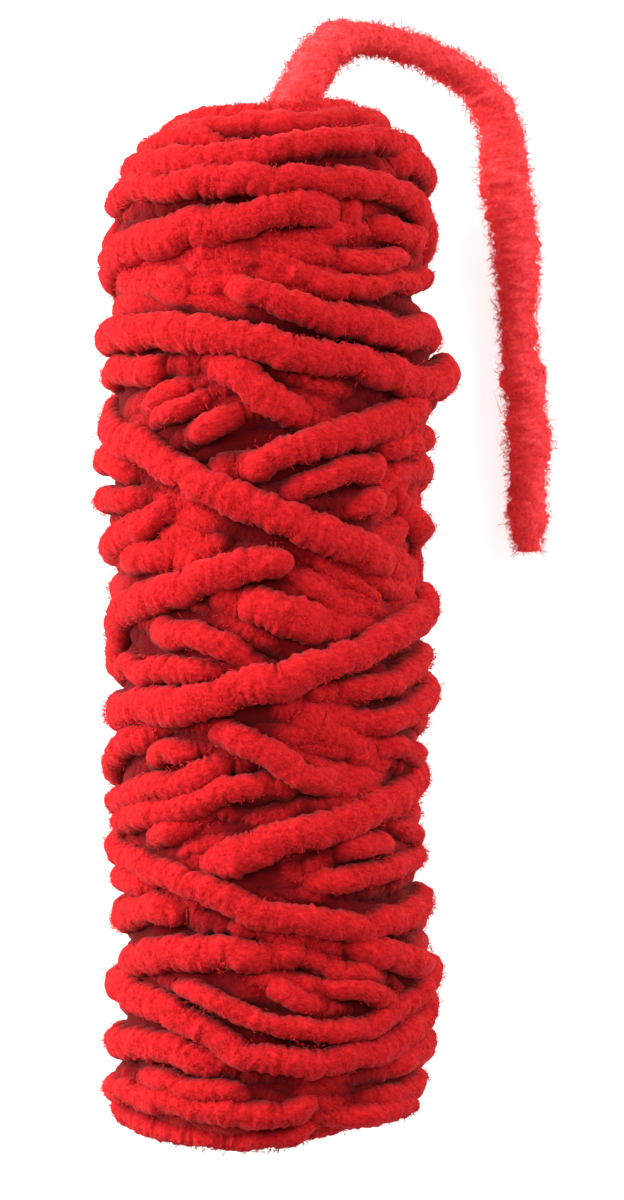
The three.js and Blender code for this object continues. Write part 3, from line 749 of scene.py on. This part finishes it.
def windingPiece(name, parts):
    # Several strands as one piece
    points, faces, uv, shade = joined(parts)
    return meshPiece(name, points, faces, uv=uv, shade=shade)


def makeWinding():
    # All turns laid, then each kind made into tubes: a long helix of the inner turns and one of the outer
    # turns, closed loops on the ends, and one tube for each front strand
    turns = baseTurns() + frontTurns()
    crest = layTurns(turns)
    bridge = bridged(crest)
    rng = np.random.default_rng(5)
    kinds = {kind: [one for one in turns if one["kind"] == kind] for kind in tubeSides}
    pieces = []
    for kind in ("inner", "outer"):  # every second map column is enough for a long helix
        places = np.concatenate([one["places"] for one in kinds[kind]])[::2]
        height = boxMean(np.concatenate([one["laid"] for one in kinds[kind]]), 2)[::2]
        angle = -np.pi / 2 + 2 * np.pi * 2 * np.arange(len(places)) / mapColumns
        tubeMesh = strand(angle, places, height, cord["width"], tubeSides[kind], rng, 0.0, bridge)
        pieces.append(windingPiece(kind + "_turns", [tubeMesh]))
    loop = np.arange(-3, mapColumns + 3)  # once round, with three columns over at each end
    angle = columnAngles(-3, len(loop))
    ends = []
    for index, one in enumerate(kinds["end"]):
        places, height = one["places"][loop % mapColumns], one["laid"][loop % mapColumns]
        start = patternSteps["end"] * index
        ends.append(strand(angle, places, height, cord["width"], tubeSides["end"], rng, start, bridge))
    pieces.append(windingPiece("end_turns", ends))
    fronts = []
    for index, one in enumerate(kinds["front"]):
        angle = refined(columnAngles(one["column"], len(one["places"])), 2)
        places, height = refined(one["places"], 2), refined(one["laid"], 2)
        start = patternSteps["front"] * index
        fronts.append(strand(angle, places, height, one["width"], tubeSides["front"], rng, start, bridge))
    half = len(fronts) // 2
    pieces.append(windingPiece("lower_strands", fronts[:half]))
    pieces.append(windingPiece("upper_strands", fronts[half:]))
    return pieces, crest, bridge


windingPieces, crestMap, bridgeMap = makeWinding()
print("winding made")


# The matted wool between the turns, all in the dark colour of painted crease shade: its grid, the places
# where it starts and ends, how far the looser front is turned to the right in radians, the two cosines
# between which it begins, how uneven the surface is in millimetres and the least height over the ground
inside = dict(columns=120, rows=160, first=-96.0, last=94.0, turned=0.25, front=(0.45, 1.0),
              unevenness=0.25, lowest=0.2)


def makeInside():
    # A closed surface a little under the bridged crests, nearer to them at the sides and deeper in front,
    # where the turns are more open
    columns, rows = inside["columns"], inside["rows"]
    place = np.linspace(inside["first"], inside["last"], rows)
    angle = 2 * np.pi * np.arange(columns) / columns
    angles = np.broadcast_to(angle, (rows, columns))
    places = np.repeat(place[:, None], columns, 1)
    near, deep = creases["fillDepth"]
    depth = near + (deep - near) * smoothStep(*inside["front"], np.cos(angles - inside["turned"]))
    height = readMap(bridgeMap, angles, places) - depth
    height += inside["unevenness"] * softNoise(np.random.default_rng(9), rows, columns, 1, 1)
    points = onRoll(angles, places, height + lifted(angles, places))[0]
    poles = np.array([[roll["axisX"], points[0, :, 1].mean(), roll["axisZ"]],
                      [roll["axisX"], points[-1, :, 1].mean(), roll["axisZ"]]])
    points = np.concatenate([points.reshape(-1, 3), poles])
    points[:, 2] = np.maximum(points[:, 2], inside["lowest"])
    faces = tubeFaces(rows, columns)[:, ::-1]
    side = np.arange(columns)
    after = (side + 1) % columns
    count = rows * columns
    last = count - columns
    firstFan = np.stack([np.full(columns, count), side, after], -1)
    lastFan = np.stack([np.full(columns, count + 1), last + after, last + side], -1)
    triangles = np.concatenate([faces[:, [0, 1, 2]], faces[:, [0, 2, 3]], firstFan, lastFan])
    uv = np.stack([points[triangles.ravel(), 0], points[triangles.ravel(), 1]], axis=-1) / 10
    # Painted shade: the fill lies a full crease deep or more, so all of it takes the dark crease colour
    shade = np.concatenate([smoothStep(*creases["depths"], depth.ravel()), [1, 1]])
    return meshPiece("winding_inside", points, triangles, uv=uv, shade=shade)


insidePiece = makeInside()
print("inside made")


# A fibre's shape as shares of its length and width: how far its middle bends outwards, how far its tip
# reaches and bends aside, how its width varies, and its least height over the ground in millimetres
fibreShape = dict(middle=(-0.1, 0.2), reach=0.95, tip=(-0.6, 0.6), widths=(0.7, 1.2), lowest=0.05)


def fibres(name, roots, outward, along, rng, settings):
    # Loose fibres that stand off the felt. Each is a thin spindle with a bend: a root, three points round
    # its middle and a tip, six faces in all. It takes the shading of the felt under it, so its points all
    # have the felt's outward direction as normal.
    count = len(roots)
    spin = rng.uniform(0, 2 * np.pi, count)[:, None]
    sideways = np.cross(outward, along)
    flat = along * np.cos(spin) + sideways * np.sin(spin)
    lift = rng.uniform(*settings["lift"], count)[:, None]
    heading = unit(flat + outward * lift)
    length = (settings["length"] * rng.lognormal(0, settings["lengthSpread"], count))[:, None]
    curl = rng.uniform(-1, 1, count)[:, None] * settings["curl"]
    turnedSide = np.cross(outward, flat)
    bend = turnedSide * curl + outward * rng.uniform(*fibreShape["middle"], (count, 1))
    middle = roots + heading * length * 0.5 + bend * length
    tip = roots + heading * length * fibreShape["reach"]
    tip = tip + turnedSide * curl * length * rng.uniform(*fibreShape["tip"], (count, 1))
    width = settings["width"] * rng.uniform(*fibreShape["widths"], count)[:, None]
    u = unit(np.cross(heading, outward + 0.01))
    v = np.cross(heading, u)
    ring = [middle + width / 2 * (u * np.cos(a) + v * np.sin(a)) for a in (0, 2 * np.pi / 3, 4 * np.pi / 3)]
    points = np.stack([roots, *ring, tip], axis=1)
    points[..., 2] = np.maximum(points[..., 2], fibreShape["lowest"])
    pattern = np.array([(0, 2, 1), (0, 3, 2), (0, 1, 3), (4, 1, 2), (4, 2, 3), (4, 3, 1)])
    faces = (np.arange(count)[:, None, None] * 5 + pattern[None]).reshape(-1, 3)
    piece = meshPiece(name, points.reshape(-1, 3), faces, smooth=True)
    piece.data.normals_split_custom_set_from_vertices(np.repeat(outward, 5, axis=0))
    return piece


# Sizes in millimetres. The fibres are several times as thick as real wool, so that few of them show well.
rollFuzz = dict(count=102000, backShare=0.4, length=0.75, lengthSpread=0.35, lift=(0.3, 1.8), curl=0.4,
                width=0.13, first=-97, last=95, creases=(0.3, 2.2), back=-0.2, sunk=0.05, clear=0.3)
looseFuzz = dict(count=14000, length=1.2, lengthSpread=0.45, lift=(0.2, 1.6), curl=0.6, width=0.14,
                 firstRing=14, sunk=0.15, clear=0.3)
fuzzPlaces = [  # the pieces of the roll's fibres, with the places where each begins and ends
    ("bottom_fuzz", -200, -45), ("lower_fuzz", -45, 0), ("upper_fuzz", 0, 42), ("top_fuzz", 42, 200),
]


def makeRollFuzz():
    # Roots at even chance round and along the roll. One is kept where its depth under the bridged crests is
    # less than a chance depth, so that creases have few, and only a share is kept on the underside.
    rng = np.random.default_rng(21)
    count = rollFuzz["count"] // 1
    angle = rng.uniform(-np.pi / 2, 1.5 * np.pi, count)
    place = rng.uniform(rollFuzz["first"], rollFuzz["last"], count)
    height = readMap(crestMap, angle, place)
    keep = readMap(bridgeMap, angle, place) - height < rng.uniform(*rollFuzz["creases"], count)
    keep &= (np.cos(angle) > rollFuzz["back"]) | (rng.uniform(0, 1, count) < rollFuzz["backShare"])
    angle, place, height = angle[keep], place[keep], height[keep]
    points, outward = onRoll(angle, place, height + lifted(angle, place) - rollFuzz["sunk"])
    around = np.stack([np.cos(angle), np.zeros_like(angle), -np.sin(angle)], axis=-1)
    return points, outward, around, place, rng


def splitFuzz():
    # The roll's fibres as four pieces by their place along it, so that each stays light
    points, outward, around, place, rng = makeRollFuzz()
    pieces = []
    for name, low, high in fuzzPlaces:
        here = (place >= low) & (place < high) & (points[:, 2] > rollFuzz["clear"])
        pieces.append(fibres(name, points[here], outward[here], around[here], rng, rollFuzz))
    return pieces


fuzzPieces = splitFuzz()
print("fuzz on the roll made")


def makeLooseFuzz():
    # Roots at even chance along the loose end and round it, just under its skin
    rng = np.random.default_rng(22)
    count = looseFuzz["count"] // 1
    ring = rng.integers(looseFuzz["firstRing"], len(looseCentres), count)
    turn = rng.uniform(0, 2 * np.pi, count)[:, None]
    outward = looseAcross[ring] * np.cos(turn) + looseOutward[ring] * np.sin(turn)
    along = unit(np.gradient(looseCentres, axis=0))[ring]
    roots = looseCentres[ring] + outward * (looseRadius[ring, None] - looseFuzz["sunk"])
    roots += along * rng.uniform(-0.5, 0.5, count)[:, None] * looseEnd["spacing"]
    clear = roots[:, 2] > looseFuzz["clear"]
    return fibres("loose_end_fuzz", roots[clear], outward[clear], along[clear], rng, looseFuzz)


looseFuzzPiece = makeLooseFuzz()
print("fuzz on the loose end made")


# Materials
def linear(code):
    # An sRGB hex colour as the linear colour that the shader takes
    values = [int(code[i:i + 2], 16) / 255 for i in (1, 3, 5)]
    return tuple([v / 12.92 if v <= 0.04045 else ((v + 0.055) / 1.055) ** 2.4 for v in values] + [1.0])


def addNode(tree, kind, links=None, **settings):
    # One node with its settings and links. A setting whose name is a socket's goes to that socket.
    node = tree.nodes.new(kind)
    for name, value in settings.items():
        if name in node.inputs.keys():
            node.inputs[name].default_value = value
        else:
            setattr(node, name, value)
    for target, source in (links or {}).items():
        tree.links.new(source, node.inputs[target])
    return node


def newMaterial(name):
    # An empty material and its node tree
    material = bpy.data.materials.new(name)
    material.use_nodes = True
    tree = material.node_tree
    tree.nodes.clear()
    return material, tree


# Sizes in millimetres: tufts, streaks and how deep the relief is. The streaks are turned by slant radians.
# Crease is the colour of the painted shade deep in the creases
felt = dict(tuft=2 / 3, streak=0.8, slant=0.6, relief=0.7, streakShare=0.55, darkAt=0.34, lightAt=0.62,
            crease="#5a0409", sheen=0.2, sheenTint="#ff8888")


def feltedWool(name, dark, light):
    # Loosely felted wool cord: matte tufts with darker wool between them and short streaks that run aslant
    # along the cord, and painted shade, a deep red mixed in by each point's shade, where it goes down into a
    # crease. To the eye it is soft, never glossy, and paler at its edges. Single fibres are finer than both
    # patterns, which are as coarse as they need to be to show.
    material, tree = newMaterial(name)
    uv = addNode(tree, "ShaderNodeUVMap", uv_map="cordUv")
    place = addNode(tree, "ShaderNodeTexCoord")
    tufts = addNode(tree, "ShaderNodeTexNoise", {"Vector": place.outputs["Object"]},
                    Scale=1 / (felt["tuft"] * mm), Detail=2.5, Roughness=0.55, Distortion=0.4)
    slanted = addNode(tree, "ShaderNodeMapping", {"Vector": uv.outputs["UV"]}, vector_type="TEXTURE",
                      Rotation=(0.0, 0.0, felt["slant"]), Scale=(1.0, 2.0, 1.0))
    streaks = addNode(tree, "ShaderNodeTexNoise", {"Vector": slanted.outputs["Vector"]},
                      Scale=10 / felt["streak"], Detail=3.0, Roughness=0.65, Distortion=0.3)  # UV in cm
    both = addNode(tree, "ShaderNodeMix", {"A": tufts.outputs["Fac"], "B": streaks.outputs["Fac"]},
                   Factor=felt["streakShare"])
    ramp = addNode(tree, "ShaderNodeValToRGB", {"Fac": both.outputs["Result"]})
    ramp.color_ramp.elements[0].position = felt["darkAt"]
    ramp.color_ramp.elements[0].color = linear(dark)
    ramp.color_ramp.elements[1].position = felt["lightAt"]
    ramp.color_ramp.elements[1].color = linear(light)
    # Painted shade: the crease colour is mixed in by each point's shade, its depth under the bridged crests
    shade = addNode(tree, "ShaderNodeAttribute", attribute_name="shade")
    deep = addNode(tree, "ShaderNodeMix", data_type="RGBA", blend_type="MIX")
    tree.links.new(shade.outputs["Fac"], deep.inputs["Factor"])
    tree.links.new(ramp.outputs["Color"], deep.inputs[6])
    deep.inputs[7].default_value = linear(felt["crease"])
    bump = addNode(tree, "ShaderNodeBump", {"Height": both.outputs["Result"]}, Strength=0.8,
                   Distance=felt["relief"] * mm)
    shader = addNode(tree, "ShaderNodeBsdfPrincipled",
                     {"Base Color": deep.outputs[2], "Normal": bump.outputs["Normal"]})
    shader.inputs["Roughness"].default_value = 0.95
    shader.inputs["Specular IOR Level"].default_value = 0.05
    shader.inputs["Sheen Weight"].default_value = felt["sheen"]
    shader.inputs["Sheen Roughness"].default_value = 0.5
    shader.inputs["Sheen Tint"].default_value = linear(felt["sheenTint"])
    addNode(tree, "ShaderNodeOutputMaterial", {"Surface": shader.outputs["BSDF"]})
    return material


def plainMaterial(name, colour, roughness, glow=0.0):
    # One matte colour with no pattern, and a white glow of its own where glow is more than 0
    material, tree = newMaterial(name)
    shader = addNode(tree, "ShaderNodeBsdfPrincipled")
    shader.inputs["Base Color"].default_value = linear(colour)
    shader.inputs["Roughness"].default_value = roughness
    shader.inputs["Specular IOR Level"].default_value = 0.05
    if glow:
        shader.inputs["Emission Color"].default_value = (1, 1, 1, 1)
        shader.inputs["Emission Strength"].default_value = glow
    addNode(tree, "ShaderNodeOutputMaterial", {"Surface": shader.outputs["BSDF"]})
    return material


# The wound cord, pressed, in a darker copy of the felt as painted shade and darker still between its
# turns by painted crease shade; the loose end, which stands free, in a brighter copy as painted light; the
# single fibres that stand off each, painted lighter than the felt for the light that they catch; and the
# pale matte surface that they lie on
wool = feltedWool("felted_wool_roll_painted_shade", "#a0080e", "#d02125")
looseWool = feltedWool("felted_wool_loose_painted_light", "#e8282e", "#ff5457")
looseFibre = plainMaterial("roll_wool_fibre_painted_light", "#d8262b", 1.0)
paintedLightFibre = plainMaterial("loose_end_fibre_painted_light", "#ff4448", 1.0)
paleSurface = plainMaterial("pale_surface", "#d9d9d9", 0.9, glow=0.72)

for piece in windingPieces + [insidePiece]:
    piece.data.materials.append(wool)
looseEndPiece.data.materials.append(looseWool)
for piece in fuzzPieces:
    piece.data.materials.append(looseFibre)
looseFuzzPiece.data.materials.append(paintedLightFibre)
print("materials set")


# Floor and light: a white surface with a little light of its own, as a lit table has, a large soft light
# from the left, a weaker one from the upper right and an even fill
studio = dict(floorSize=6.0, worldStrength=0.42)
softLights = [  # name, power in watts, size in metres, place
    ("left_softbox", 13.3, 0.6, (-0.76, 0.28, 0.27)),
    ("top_softbox", 2.2, 0.5, (-0.28, 0.28, 0.80)),
    ("right_softbox", 5.8, 0.6, (0.60, 0.45, 0.42)),
]


def addStudio():
    # A flat floor in the studio, area lights that look at the roll and a plain white world
    half = studio["floorSize"] / 2 / mm
    points = [(-half, -half, 0), (half, -half, 0), (half, half, 0), (-half, half, 0)]
    floor = meshPiece("floor", points, [(0, 1, 2, 3)], smooth=False)
    floor.data.materials.append(paleSurface)
    for name, power, size, place in softLights:
        light = bpy.data.lights.new(name, "AREA")
        light.energy = power
        light.size = size
        lamp = bpy.data.objects.new(name, light)
        lamp.location = place
        lamp.rotation_euler = (-Vector(place)).to_track_quat("-Z", "Y").to_euler()
        bpy.context.scene.collection.objects.link(lamp)
    world = bpy.data.worlds.new("soft_studio")
    world.use_nodes = True
    world.node_tree.nodes["Background"].inputs["Color"].default_value = (1, 1, 1, 1)
    world.node_tree.nodes["Background"].inputs["Strength"].default_value = studio["worldStrength"]
    bpy.context.scene.world = world
    bpy.context.scene.view_settings.view_transform = "Standard"


addStudio()
print("studio set")


# What each piece is in the frame
body = "root"
for piece in windingPieces + fuzzPieces + [insidePiece]:
    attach(piece, body)
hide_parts("wound_roll")
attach(looseEndPiece, body)
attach(looseFuzzPiece, body)
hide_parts("loose_end")
